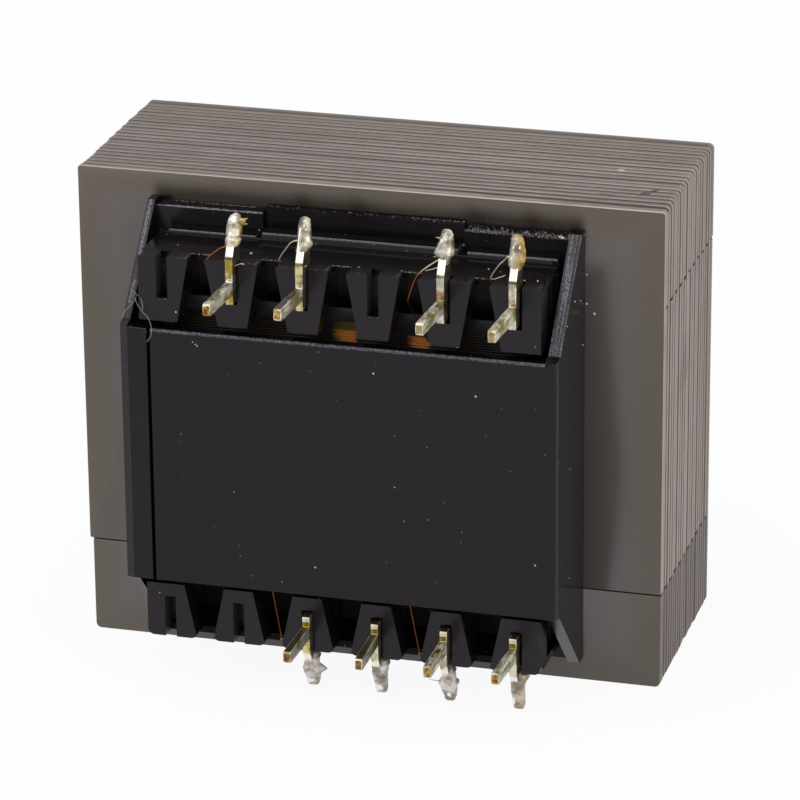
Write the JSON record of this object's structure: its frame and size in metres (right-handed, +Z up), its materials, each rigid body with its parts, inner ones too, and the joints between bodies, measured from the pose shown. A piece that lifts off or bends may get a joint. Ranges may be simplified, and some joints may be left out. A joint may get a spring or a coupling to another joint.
{
  "type": "pcb transformer",
  "caption": "Open laminated mains transformer with a black plastic coil cover and two rows of stamped solder pins for a circuit board.",
  "frame": {"origin": "underside of the laminated core, in the middle of its width and of its stack of plates", "axes": "+Z up from the core's lower yoke to its upper yoke, -Y the way the pins point, +X to the right as the pins are faced"},
  "size_m": [0.042, 0.0367, 0.0352],
  "materials": {
    "core_face": "satin, varnished grey-brown electrical steel",
    "core_stack": "varnished cut edges of electrical steel plates",
    "black_plastic": "semi-matte moulded black plastic",
    "copper_winding": "enamelled copper wire",
    "coil_tape": "insulating tape, satin",
    "tinned_pin": "tinned, with the brass showing through",
    "solder": "soft solder, bright to dull grey",
    "lead_wire": "enamelled copper wire, tinned at its end"
  },
  "bodies": {
    "root": {"front_e_plate": "core_face", "front_i_plate": "core_face", "back_e_plate": "core_face", "back_i_plate": "core_face", "e_plates_joint_low": "core_stack", "i_plates_joint_low": "core_stack", "e_plates_joint_high": "core_stack", "i_plates_joint_high": "core_stack", "coil_former": "black_plastic", "front_cover_plate": "black_plastic", "front_cover_lip": "black_plastic", "back_cover_plate": "black_plastic", "back_cover_lip": "black_plastic", "upper_winding": "copper_winding", "lower_winding": "copper_winding", "coil_tape": "coil_tape", "pin_1": "tinned_pin", "pin_2": "tinned_pin", "pin_3": "tinned_pin", "pin_4": "tinned_pin", "pin_5": "tinned_pin", "pin_6": "tinned_pin", "pin_7": "tinned_pin", "pin_8": "tinned_pin", "solder_1": "solder", "solder_2": "solder", "solder_3": "solder", "solder_4": "solder", "solder_5": "solder", "solder_6": "solder", "solder_7": "solder", "solder_8": "solder", "lead_1": "lead_wire", "lead_2": "lead_wire", "lead_3": "lead_wire", "lead_4": "lead_wire", "lead_5": "lead_wire", "lead_6": "lead_wire", "lead_7": "lead_wire", "lead_8": "lead_wire"}
  },
  "joints": []
}
